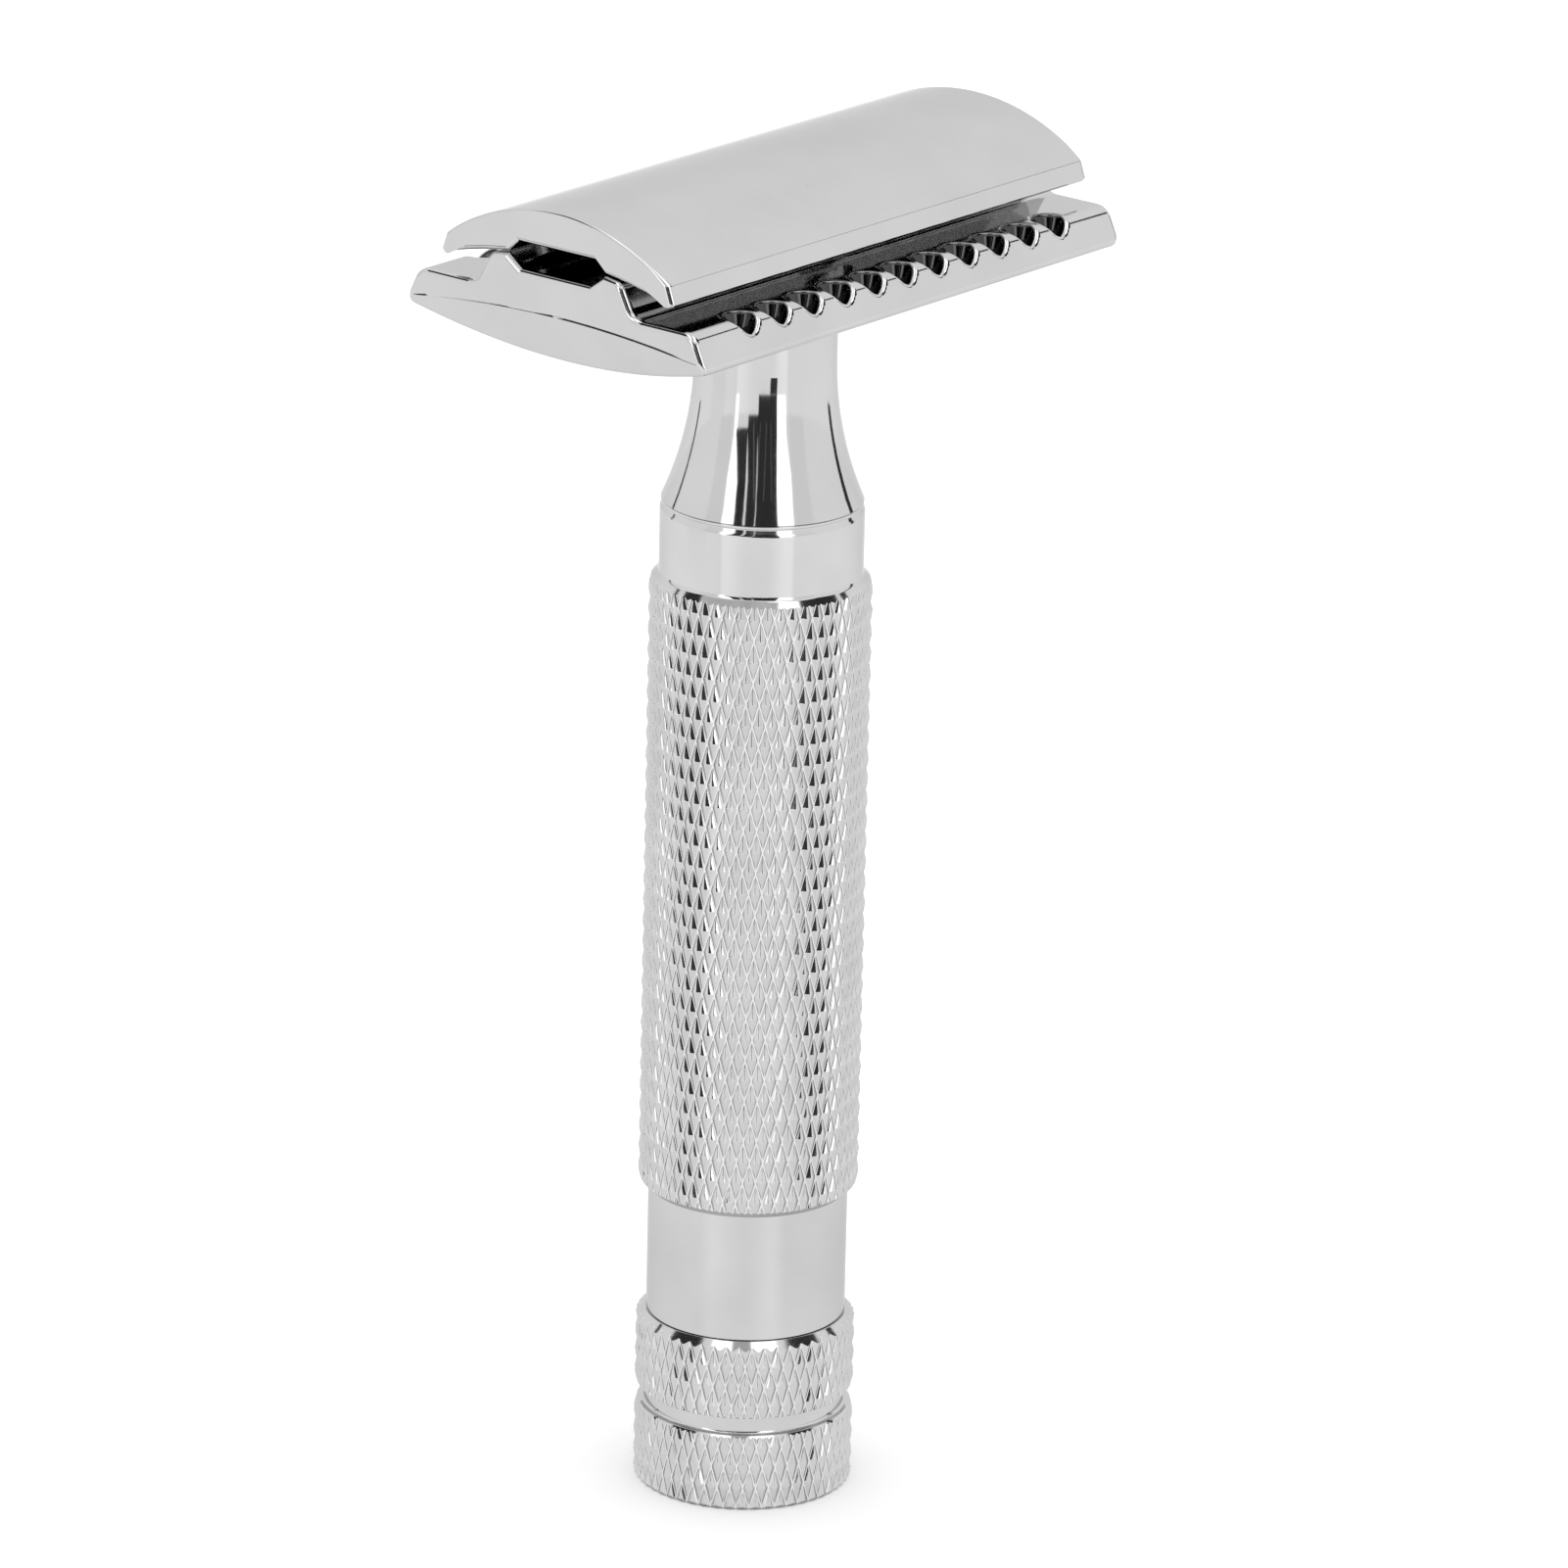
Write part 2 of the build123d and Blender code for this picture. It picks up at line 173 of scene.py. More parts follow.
def clip(faces, value):
    """Splits faces where value(corner) changes sign. Returns those below zero and those above."""
    below, above = [], []
    for face in faces:
        values = [value(corner) for corner in face]
        if max(values) <= 1e-9:
            below.append(face)
            continue
        if min(values) >= -1e-9:
            above.append(face)
            continue
        parts = ([], [])
        for i, corner in enumerate(face):
            nxt, here, there = face[(i + 1) % len(face)], values[i], values[(i + 1) % len(face)]
            if here <= 1e-9:
                parts[0].append(corner)
            if here >= -1e-9:
                parts[1].append(corner)
            if (here > 1e-9 and there < -1e-9) or (here < -1e-9 and there > 1e-9):
                t = here / (here - there)
                cut = tuple(p + (q - p) * t for p, q in zip(corner, nxt))
                parts[0].append(cut)
                parts[1].append(cut)
        below.append(parts[0])
        above.append(parts[1])
    return below, above


COLUMNS = 52  # diamonds round the handle
RIDGE_SHARE = 0.16  # half width of the upright rounded ridges, as a share of half a diamond
CREST_SHARE = 0.05  # the same for the ridges that run round the handle
GROOVE_SHARE = 0.12  # half width of the grooves between the diamonds
FACET_WOBBLE = 0.05  # how much the facets' lean differs from one diamond to the next
WOBBLE_ROUND, WOBBLE_UP = 97.0, 41.0  # its turns, in radians for each radian round and each millimetre up
TOP_TILT, FOOT_TILT = 0.60, 1.24  # how a facet's lean grows from the top of a diamond to its foot


def diamond(angle, z, half_angle, half_height, crest, depth):
    """Faces of one raised diamond of the knurl: four crowned facets with rounded ridges, in a groove."""
    b, c, g = RIDGE_SHARE, CREST_SHARE, GROOVE_SHARE
    uneven = 1 + FACET_WOBBLE * math.sin(WOBBLE_ROUND * angle + WOBBLE_UP * z)
    across, along = depth / (crest * half_angle) * uneven, depth / half_height / uneven**2

    def corner(p, q, side, rise):
        """A corner at p, q in half diamonds. side and rise say which facet's normal it has."""
        out = min(abs(p) + abs(q), 1 - g)
        tilt = TOP_TILT + (FOOT_TILT - TOP_TILT) * out / (1 - g)
        normal = Vector((side * across * tilt, rise * along * tilt, 1)).normalized()
        in_groove = 0.0 if side or rise else 1.0
        return angle + p * half_angle, z + q * half_height, crest - depth * (out - b - c), *normal, in_groove

    top = {(s, t): corner(s * b, t * c, s, t) for s in (-1, 1) for t in (-1, 1)}
    side_end = {(s, t): corner(s * (1 - g - c), t * c, s, t) for s in (-1, 1) for t in (-1, 1)}
    rise_end = {(s, t): corner(s * b, t * (1 - g - b), s, t) for s in (-1, 1) for t in (-1, 1)}
    left, right = corner(-1, 0, 0, 0), corner(1, 0, 0, 0)
    foot, head = corner(0, -1, 0, 0), corner(0, 1, 0, 0)
    return [
        [top[-1, -1], top[1, -1], top[1, 1], top[-1, 1]],
        [top[1, 1], side_end[1, 1], rise_end[1, 1]],
        [top[-1, 1], rise_end[-1, 1], side_end[-1, 1]],
        [top[-1, -1], side_end[-1, -1], rise_end[-1, -1]],
        [top[1, -1], rise_end[1, -1], side_end[1, -1]],
        [top[-1, 1], top[1, 1], rise_end[1, 1], rise_end[-1, 1]],
        [rise_end[-1, -1], rise_end[1, -1], top[1, -1], top[-1, -1]],
        [top[1, -1], side_end[1, -1], side_end[1, 1], top[1, 1]],
        [side_end[-1, -1], top[-1, -1], top[-1, 1], side_end[-1, 1]],
        [side_end[1, 1], right, head, rise_end[1, 1]],
        [rise_end[-1, 1], head, left, side_end[-1, 1]],
        [side_end[-1, -1], left, foot, rise_end[-1, -1]],
        [rise_end[1, -1], foot, right, side_end[1, -1]],
        [rise_end[-1, 1], rise_end[1, 1], head],
        [rise_end[1, -1], rise_end[-1, -1], foot],
        [side_end[1, -1], right, side_end[1, 1]],
        [side_end[-1, 1], left, side_end[-1, -1]],
    ]


def knurled_band(low, high, crest, depth, row_z, row_pitch, row_angle, low_cone, high_cone):
    """Faces of a knurled band between two heights, and the rings where it ends.

    A cone is (z where it leaves the crests, rise of the radius for each millimetre up)."""
    half_angle = TURN / COLUMNS / 2
    rows = range(math.floor((low - row_z) / row_pitch) - 1, math.ceil((high - row_z) / row_pitch) + 2)
    faces = []
    for row in rows:
        shift = row_angle + (row % 2) * half_angle
        for column in range(COLUMNS):
            faces += diamond(shift + 2 * column * half_angle, row_z + row * row_pitch, half_angle, row_pitch,
                             crest, depth)
    faces = clip(faces, lambda corner: corner[1] - high)[0]
    faces = clip(faces, lambda corner: corner[1] - low)[1]
    for cone_z, slope in (low_cone, high_cone):
        length = math.hypot(1, slope)
        faces, proud = clip(faces, lambda corner: corner[2] - crest - slope * (corner[1] - cone_z))
        for face in proud:
            faces.append([
                (corner[0], corner[1], crest + slope * (corner[1] - cone_z), 0, -slope / length, 1 / length)
                for corner in face
            ])
    ends = []
    for level in (low, high):
        found = {}
        for face in faces:
            for corner in face:
                if abs(corner[1] - level) < 1e-6:
                    angle = corner[0] % TURN
                    if TURN - angle < 1e-6:
                        angle = 0.0
                    found[round(angle, 7)] = (angle, *corner[1:])
        ends.append([found[key] for key in sorted(found)])
    return faces, ends[0], ends[1]


# ---------------------------------------------------------------- materials


def new_material(name):
    """A material with only a Principled shader, its node tree and the shader."""
    material = bpy.data.materials.new(name)
    material.use_nodes = True
    tree = material.node_tree
    tree.nodes.clear()
    shader = tree.nodes.new("ShaderNodeBsdfPrincipled")
    output = tree.nodes.new("ShaderNodeOutputMaterial")
    tree.links.new(shader.outputs["BSDF"], output.inputs["Surface"])
    return material, tree, shader


def noise(tree, coordinate, scale, detail, stretch=(1, 1, 1)):
    """A noise texture from 0 to 1, with its axes scaled by stretch."""
    mapping = tree.nodes.new("ShaderNodeMapping")
    mapping.inputs["Scale"].default_value = stretch
    tree.links.new(coordinate, mapping.inputs["Vector"])
    texture = tree.nodes.new("ShaderNodeTexNoise")
    texture.inputs["Scale"].default_value = scale
    texture.inputs["Detail"].default_value = detail
    tree.links.new(mapping.outputs["Vector"], texture.inputs["Vector"])
    return texture.outputs["Fac"]


NOISE_LOW, NOISE_HIGH = 0.3, 0.7  # a noise texture's values are nearly all between these


def spread(tree, value, low, high, from_low=NOISE_LOW, from_high=NOISE_HIGH):
    """The value mapped so that from_low gives low and from_high gives high."""
    node = tree.nodes.new("ShaderNodeMapRange")
    node.inputs["From Min"].default_value = from_low
    node.inputs["From Max"].default_value = from_high
    node.inputs["To Min"].default_value = low
    node.inputs["To Max"].default_value = high
    tree.links.new(value, node.inputs["Value"])
    return node.outputs["Result"]


def arithmetic(tree, operation, *values):
    """A Math node. Each value is a number or another node's output."""
    node = tree.nodes.new("ShaderNodeMath")
    node.operation = operation
    for socket, value in zip(node.inputs, values):
        if isinstance(value, (int, float)):
            socket.default_value = value
        else:
            tree.links.new(value, socket)
    return node.outputs["Value"]


def tinted(tree, colour, share, tint):
    """The colour, changed to the tint where the share is 1."""
    node = tree.nodes.new("ShaderNodeMix")
    node.data_type = "RGBA"
    tree.links.new(share, node.inputs["Factor"])
    tree.links.new(colour, node.inputs["A"])
    node.inputs["B"].default_value = (*tint, 1)
    return node.outputs["Result"]


TAIL_FOOT_Z, TAIL_TOP_Z = 11.97, 20.73


def satin_band(tree, coordinate):
    """1 on the brushed tail between the grip and the knob, and 0 elsewhere."""
    place = tree.nodes.new("ShaderNodeSeparateXYZ")
    tree.links.new(coordinate, place.inputs["Vector"])
    above = arithmetic(tree, "GREATER_THAN", place.outputs["Z"], (TAIL_FOOT_Z - 0.01) * MM)
    below = arithmetic(tree, "LESS_THAN", place.outputs["Z"], TAIL_TOP_Z * MM)
    return arithmetic(tree, "MULTIPLY", above, below)


def painted_pocket_shade(tree, coordinate):
    """1 inside the base plate's conical scallops, where the colour is darkened as painted shade for the dark
    hollows.
    """
    pitch, row_y, last_x = 3.16 * MM, 10.68 * MM, 17.2 * MM
    floor_z, floor_radius, slope = 84.35 * MM, 0.41 * MM, 0.405
    fade_start, fade_end = 0.03 * MM, 0.12 * MM  # how far out of the cone the painted shade fades
    place = tree.nodes.new("ShaderNodeSeparateXYZ")
    tree.links.new(coordinate, place.inputs["Vector"])
    x, y, z = (place.outputs[axis] for axis in "XYZ")
    cell = arithmetic(tree, "FLOORED_MODULO", arithmetic(tree, "ADD", x, pitch / 2), pitch)
    along = arithmetic(tree, "SUBTRACT", cell, pitch / 2)
    across = arithmetic(tree, "SUBTRACT", arithmetic(tree, "ABSOLUTE", y), row_y)
    squares = arithmetic(tree, "ADD", arithmetic(tree, "MULTIPLY", along, along),
                         arithmetic(tree, "MULTIPLY", across, across))
    wall = arithmetic(tree, "MULTIPLY_ADD", z, slope, floor_radius - slope * floor_z)
    beyond_wall = arithmetic(tree, "SUBTRACT", arithmetic(tree, "SQRT", squares), wall)
    inside = spread(tree, beyond_wall, 1, 0, fade_start, fade_end)
    above = arithmetic(tree, "GREATER_THAN", z, floor_z - 0.1 * MM)
    near = arithmetic(tree, "LESS_THAN", arithmetic(tree, "ABSOLUTE", x), last_x)
    return arithmetic(tree, "MULTIPLY", inside, arithmetic(tree, "MULTIPLY", above, near))


MICRON = 1e-6
CLOUD_SCALE, GRAIN_SCALE, WAVE_SCALE = 160, 2500, 420
SPECK_SCALE, SPECK_SPREAD, SPECK_SIZE, SPECK_SHADE = 420, 300, 0.03, 0.55
GRAIN_GLOSS = 0.6  # how much of the clouds' range of gloss the grain adds
EDGE_ON = (0.78, 0.78, 0.78, 1)  # how bright the metal is edge-on


def metal(name, bright, dull, smooth, rough, grain_depth, grain=(1, 1, 1), wave_depth=2.0 * MICRON,
          groove_highlight_tint=None, pocket_shade_tint=None, satin=0.0):
    """Metal with faint clouds in its colour and gloss, tiny dull specks, polishing grain and slight waves.

    Its roughness runs from smooth to rough, and grain is how the grain is scaled along X, Y and Z."""
    material, tree, shader = new_material(name)
    link = tree.links.new
    coordinate = tree.nodes.new("ShaderNodeTexCoord").outputs["Object"]
    clouds = noise(tree, coordinate, CLOUD_SCALE, 4)
    fine = noise(tree, coordinate, GRAIN_SCALE, 2, grain)

    ramp = tree.nodes.new("ShaderNodeValToRGB")
    for element, position, shade in zip(ramp.color_ramp.elements, (NOISE_LOW, NOISE_HIGH), (dull, bright)):
        element.position = position
        element.color = (*shade, 1)
    link(clouds, ramp.inputs["Fac"])

    cells = tree.nodes.new("ShaderNodeTexVoronoi")
    cells.inputs["Scale"].default_value = SPECK_SCALE
    link(coordinate, cells.inputs["Vector"])
    size = spread(tree, noise(tree, coordinate, SPECK_SPREAD, 1), 0.0, SPECK_SIZE, 0.56, 0.72)
    in_speck = arithmetic(tree, "LESS_THAN", cells.outputs["Distance"], size)

    colour = tinted(tree, ramp.outputs["Color"], in_speck, [c * SPECK_SHADE for c in dull])
    # Painted highlight: lighter colour along the knurl's grooves, where the groove attribute is high.
    if groove_highlight_tint:
        groove = tree.nodes.new("ShaderNodeAttribute")
        groove.attribute_name = "groove"
        colour = tinted(tree, colour, groove.outputs["Fac"], groove_highlight_tint)
    # Painted shade: near-black colour inside the base plate's scallops.
    if pocket_shade_tint:
        colour = tinted(tree, colour, painted_pocket_shade(tree, coordinate), pocket_shade_tint)
    link(colour, shader.inputs["Base Color"])

    shader.inputs["Metallic"].default_value = 1.0
    shader.inputs["Specular Tint"].default_value = EDGE_ON
    roughness = arithmetic(tree, "ADD", spread(tree, clouds, smooth, rough),
                           spread(tree, fine, 0.0, (rough - smooth) * GRAIN_GLOSS))
    if satin:
        band = satin_band(tree, coordinate)
        roughness = arithmetic(tree, "ADD", roughness, arithmetic(tree, "MULTIPLY", band, satin))
    link(roughness, shader.inputs["Roughness"])

    wave = tree.nodes.new("ShaderNodeBump")
    wave.inputs["Strength"].default_value = 1.0
    wave.inputs["Distance"].default_value = wave_depth
    link(noise(tree, coordinate, WAVE_SCALE, 1), wave.inputs["Height"])
    scratch = tree.nodes.new("ShaderNodeBump")
    scratch.inputs["Strength"].default_value = 1.0
    scratch.inputs["Distance"].default_value = grain_depth
    link(fine, scratch.inputs["Height"])
    link(wave.outputs["Normal"], scratch.inputs["Normal"])
    link(scratch.outputs["Normal"], shader.inputs["Normal"])
    return material


CHROME = ((0.64, 0.64, 0.64), (0.60, 0.60, 0.605), 0.045, 0.075, 0.04 * MICRON, (1, 1, 0.15))
polished = metal("polished_chrome", *CHROME)
# The base plate's scallops get painted shade: their colour is darkened to near black inside them.
plated = metal("plate_chrome", *CHROME, pocket_shade_tint=(0.07, 0.07, 0.07))
# The knurl's grooves get a painted highlight: their colour is lightened to show bright lines along them.
knurled = metal("knurled_chrome", (0.65, 0.65, 0.65), (0.59, 0.59, 0.595), 0.05, 0.09, 0.3 * MICRON,
                groove_highlight_tint=(0.88, 0.88, 0.88), satin=0.10)
stud_metal = metal("stud_chrome", (0.60, 0.60, 0.60), (0.50, 0.50, 0.51), 0.10, 0.20, 0.3 * MICRON)
brass = metal("bush_brass", (0.80, 0.62, 0.30), (0.66, 0.48, 0.22), 0.20, 0.34, 0.5 * MICRON, (1, 1, 0.2))
rod_steel = metal("rod_steel", (0.56, 0.56, 0.57), (0.44, 0.44, 0.46), 0.18, 0.30, 0.4 * MICRON, (1, 1, 8))
spring_steel = metal("spring_steel", (0.42, 0.41, 0.40), (0.30, 0.29, 0.30), 0.22, 0.36, 0.4 * MICRON)

for members, material in (
    (("base_plate",), plated),
    (("neck",), polished),
    (("locating_pin_left", "locating_pin_right"), stud_metal),
    (("upper_bush", "lower_bush"), brass),
    (("drive_rod", "threaded_socket", "cross_pin", "foot_screw"), rod_steel),
    (("lock_washer", "spring_washer", "thrust_washer", "retaining_clip"), spring_steel),
):
    for member in members:
        nodes[member].data.materials.clear()
        nodes[member].data.materials.append(material)


# ---------------------------------------------------------------- handle barrel

CAMERA_TURN = math.radians(-140.98)  # the side of the handle that faces the camera
STATIONS = 208  # corners round a turned surface
CREST = 7.35  # radius at the tops of the knurl
TAIL_RADIUS, BORE_RADIUS, COLLAR_RADIUS = 6.66, 5.20, 6.72
ROW_PITCH = 1.4457
TOP_ROW_Z = 62.35
GRIP_FOOT_Z, GRIP_HEAD_Z = TOP_ROW_Z - 28.70 * ROW_PITCH, TOP_ROW_Z + 0.70 * ROW_PITCH
FIRST_COLUMN = CAMERA_TURN + math.radians(0.75 + 180 / COLUMNS)

barrel_band, band_foot, band_head = knurled_band(
    low=GRIP_FOOT_Z, high=GRIP_HEAD_Z, crest=CREST, depth=0.30, row_z=TOP_ROW_Z, row_pitch=ROW_PITCH,
    row_angle=FIRST_COLUMN, low_cone=(21.35, 1.11), high_cone=(63.0, -1.02),
)
barrel_profile = rounded(
    [
        (band_head[0][2], GRIP_HEAD_Z),
        (COLLAR_RADIUS, 63.62),
        (COLLAR_RADIUS, 67.92),
        # A fine groove and a bead under the neck
        (6.55, 68.24),
        (6.55, 68.30),
        (6.63, 68.36),
        (6.63, 68.50),
        (6.55, 68.56),
        # The bore, and then the tail
        (BORE_RADIUS, 68.60),
        (BORE_RADIUS, TAIL_FOOT_Z),
        (TAIL_RADIUS, TAIL_FOOT_Z),
        (TAIL_RADIUS, TAIL_TOP_Z),
        (band_foot[0][2], GRIP_FOOT_Z),
    ],
    {1: 0.45, 2: 0.50, 5: 0.04, 6: 0.04, 10: 0.04, 11: 0.15},
)
barrel_faces = barrel_band + turn_profile(barrel_profile, STATIONS, band_head, band_foot)
make_piece("grip_barrel", [[turned_corner(c) for c in face] for face in barrel_faces],
           "handle", "handle_barrel", knurled)

# ---------------------------------------------------------------- twist knob

KNOB_TOP_Z, SHOULDER_Z, GROOVE_TOP_Z, GROOVE_FOOT_Z = 11.94, 11.72, 6.57, 5.27
KNOB_KNURL = {
    "crest": CREST, "depth": 0.31, "row_z": 11.55, "row_pitch": 1.429,
    "row_angle": CAMERA_TURN + math.radians(-2.6) - TURN / COLUMNS / 2,
}
upper_band, upper_foot, upper_head = knurled_band(
    low=GROOVE_TOP_Z, high=SHOULDER_Z, low_cone=(6.77, 1.0), high_cone=(11.40, -1.02), **KNOB_KNURL
)
lower_band, lower_foot, lower_head = knurled_band(
    low=0.0, high=GROOVE_FOOT_Z, low_cone=(0.28, 1.0), high_cone=(4.99, -1.0), **KNOB_KNURL
)
# From the shoulder over the top, down the recess, the rod's bore and the screw's bore, and out along the foot
inner_profile = rounded(
    [
        (upper_head[0][2], SHOULDER_Z), (6.80, KNOB_TOP_Z), (5.0, KNOB_TOP_Z), (5.0, 11.0), (2.5, 11.0),
        (2.5, 4.0), (1.6, 4.0), (1.6, 2.4), (3.4, 2.4), (3.4, 0.0), (lower_foot[0][2], 0.0),
    ],
    {1: 0.06, 9: 0.15},
)
groove_profile = rounded(
    [
        (lower_head[0][2], GROOVE_FOOT_Z), (TAIL_RADIUS, GROOVE_FOOT_Z),
        (TAIL_RADIUS, GROOVE_TOP_Z), (upper_foot[0][2], GROOVE_TOP_Z),
    ],
    {1: 0.20, 2: 0.20},
)
knob_faces = upper_band + lower_band
knob_faces += turn_profile(inner_profile, STATIONS, upper_head, lower_foot)
knob_faces += turn_profile(groove_profile, STATIONS, lower_head, upper_foot)
make_piece("knurled_knob", [[turned_corner(c) for c in face] for face in knob_faces],
           "twist_drive", "knob", knurled)

# ---------------------------------------------------------------- cap

CAP_HALF = 21.15
DOME_TOP, DOME_RADIUS = 91.92, 15.8
SEAT_TOP, SEAT_RADIUS = 88.94, 33.0
CEILING_Z, CEILING_HALF_WIDTH, HOLE_TOP_Z = 89.45, 3.15, 90.60
LIP_FOOT_Y, LIP_Y, LIP_TOP_Y, LIP_HEIGHT = 9.48, 9.70, 9.30, 0.22
TIP_START_Y, TIP_WIDTH = 7.8, 1.4  # where the long edges' rounding turns into that of the lip's corners
END_ROUND, CHANNEL_ROUND = 0.20, 0.36  # radius of the end face's rim, and of the rim in the channel
HOLE_SIDES, CELL = 32, 3.0  # each hole stands in a square cell of the ceiling, this far each way
TIP_ROUND = 0.45  # radius of the lip's corners, seen from above
CAP_HOLES = ((-13.0, 1.05), (0.0, 2.5), (13.0, 1.05))  # place along X and radius, for the pins and the stud


def dome_z(y):
    return DOME_TOP - DOME_RADIUS + math.sqrt(DOME_RADIUS**2 - y**2)


def seat_z(y):
    return SEAT_TOP - SEAT_RADIUS + math.sqrt(SEAT_RADIUS**2 - y**2)


def cell_point(k):
    """The corner on a square cell's edge that is straight out from the hole's corner k."""
    c, s = math.cos(TURN * k / HOLE_SIDES), math.sin(TURN * k / HOLE_SIDES)
    reach = CELL / max(abs(c), abs(s))
    return c * reach, s * reach


def cap_faces():
    """The cap as an outline across the blade, carried along it, with rounded ends and three holes below."""
    eighth = HOLE_SIDES // 8
    right = [(cell_point(k)[1], CEILING_Z) for k in range(1, eighth + 1)]
    right.append((CEILING_HALF_WIDTH, CEILING_Z))
    right += [(y, seat_z(y)) for y in (4.0, 5.1, 6.2, 7.3, 8.4, LIP_FOOT_Y)]
    lip = len(right)
    right += [(LIP_Y, seat_z(LIP_FOOT_Y) + LIP_HEIGHT), (LIP_TOP_Y, dome_z(LIP_TOP_Y))]
    dome_step = LIP_TOP_Y / 30
    right += [(LIP_TOP_Y - dome_step * k, dome_z(LIP_TOP_Y - dome_step * k)) for k in range(1, 30)]
    points = [(0.0, CEILING_Z)] + right + [(0.0, DOME_TOP)] + [(-y, z) for y, z in reversed(right)]
    count = len(points)
    fillets = {}
    # Rounded corners: two of the channel, and the lip's lower, outer and upper ones
    for i, radius in ((eighth + 1, 0.15), (eighth + 2, 0.12), (lip, 0.10), (lip + 1, 0.12), (lip + 2, 0.25)):
        fillets[i] = fillets[count - i] = radius
    steps = 4
    strips = rounded(points, fillets, closed=True, steps=steps)
    owners = []
    for i in range(count):
        owners += [(i, i)] * (steps if i in fillets else 0) + [(i, (i + 1) % count)]

    # How far each corner of the outline goes in, and back, where the ends are rounded
    moves = []
    for i, (y, z) in enumerate(points):
        before, here, after = Vector(points[i - 1]), Vector((y, z)), Vector(points[(i + 1) % count])
        way_in, way_out = (here - before).normalized(), (after - here).normalized()
        left = Vector((-way_in.y, way_in.x))
        bisector = (left + Vector((-way_out.y, way_out.x))).normalized()
        tip = min(1.0, max(0.0, (abs(y) - TIP_START_Y) / TIP_WIDTH))
        on_dome_or_lip = z > CEILING_Z + 0.01 or abs(y) > TIP_START_Y
        plain = END_ROUND if on_dome_or_lip else CHANNEL_ROUND
        to_centre = Vector((-math.copysign(TIP_ROUND, y), 0))
        inward = bisector * plain / bisector.dot(left) * (1 - tip) + to_centre * tip
        moves.append((inward, plain + (TIP_ROUND - plain) * tip))

    def corner(end, bend, place, normal, owner):
        """A corner of the rounded end. bend is 0 on the long faces and a right angle on the end face."""
        inward, reach = moves[owner]
        c, s = math.cos(bend), math.sin(bend)
        x = end * (CAP_HALF - reach * (1 - s))
        sink = max(0.02, -(inward.x * normal[0] + inward.y * normal[1]))
        return (
            (x, place[0] + inward.x * (1 - c), place[1] + inward.y * (1 - c)),
            (end * sink * s, reach * c * normal[0], reach * c * normal[1]),
        )

    faces = []
    stations = sorted({round(x + cell_point(k)[0], 6) for x, _ in CAP_HOLES for k in range(HOLE_SIDES)})
    for (start, start_normal, end, end_normal), (a, b) in zip(strips, owners):
        def along(x):
            return [((x, *start), (0, *start_normal)), ((x, *end), (0, *end_normal))]

        rows = [[corner(-1, 0, start, start_normal, a), corner(-1, 0, end, end_normal, b)]]
        rows += [along(x) for x in stations]
        rows.append([corner(1, 0, start, start_normal, a), corner(1, 0, end, end_normal, b)])
        on_ceiling = start[1] == end[1] == CEILING_Z and max(abs(start[0]), abs(end[0])) <= CELL + 1e-6
        for low, high in zip(rows, rows[1:]):
            middle = (low[0][0][0] + high[0][0][0]) / 2
            if not on_ceiling or all(abs(middle - x) > CELL for x, _ in CAP_HOLES):
                faces.append([low[0], low[1], high[1], high[0]])
        bends = [math.pi / 2 * k / 5 for k in range(6)]
        for side in (-1, 1):
            for bend, next_bend in zip(bends, bends[1:]):
                face = [corner(side, angle, place, normal, owner) for angle, place, normal, owner in (
                    (bend, start, start_normal, a), (bend, end, end_normal, b),
                    (next_bend, end, end_normal, b), (next_bend, start, start_normal, a),
                )]
                faces.append(face if side > 0 else face[::-1])
    for side in (-1, 1):
        face = []
        for (start, normal, _, _), (owner, _) in zip(strips, owners):
            face.append((corner(side, math.pi / 2, start, normal, owner)[0], (side, 0, 0)))
        faces.append(face if side > 0 else face[::-1])

    for x, radius in CAP_HOLES:
        rim = [(x + radius * math.cos(TURN * k / HOLE_SIDES), radius * math.sin(TURN * k / HOLE_SIDES))
               for k in range(HOLE_SIDES)]
        edge = [(x + cell_point(k)[0], cell_point(k)[1]) for k in range(HOLE_SIDES)]
        for k in range(HOLE_SIDES):
            n = (k + 1) % HOLE_SIDES
            faces.append([((*p, CEILING_Z), (0, 0, -1)) for p in (rim[k], rim[n], edge[n], edge[k])])
            faces.append([((*rim[i], z), (x - rim[i][0], -rim[i][1], 0))
                          for i, z in ((k, CEILING_Z), (k, HOLE_TOP_Z), (n, HOLE_TOP_Z), (n, CEILING_Z))])
        faces.append([((*p, HOLE_TOP_Z), (0, 0, -1)) for p in reversed(rim)])
    return faces


make_piece("cap_shell", cap_faces(), "cap", "top_cap", polished)

# ---------------------------------------------------------------- cap stud with its screw thread

THREAD_PITCH, THREAD_DEPTH, THREAD_SIDES, THREAD_ROWS = 0.8, 0.42, 48, 10  # rows of corners for each turn
THREAD_END, THREAD_RUN_OUT = 89.3, 0.5
FLAT_SHARE, FLANK_SHARE = 0.08, 0.34  # half of the root's flat and one flank, as shares of the pitch
STUD_FOOT, STUD_RADIUS = 77.1, 2.5
TIP_RADIUS, TIP_SLOPE = 1.95, 1.1


def stud_radius(angle, z):
    """Radius of the stud: a right-handed thread with flat crests and roots, inside a cone at the tip."""
    turn = (z / THREAD_PITCH - angle / TURN) % 1.0
    flank = min(1.0, max(0.0, (abs(turn - 0.5) - FLAT_SHARE) / FLANK_SHARE))
    root = 0.5 + 0.5 * math.cos(math.pi * flank)
    fade = min(1.0, max(0.0, (THREAD_END - z) / THREAD_RUN_OUT))
    return min(STUD_RADIUS - THREAD_DEPTH * root * fade, TIP_RADIUS + (z - STUD_FOOT) * TIP_SLOPE)


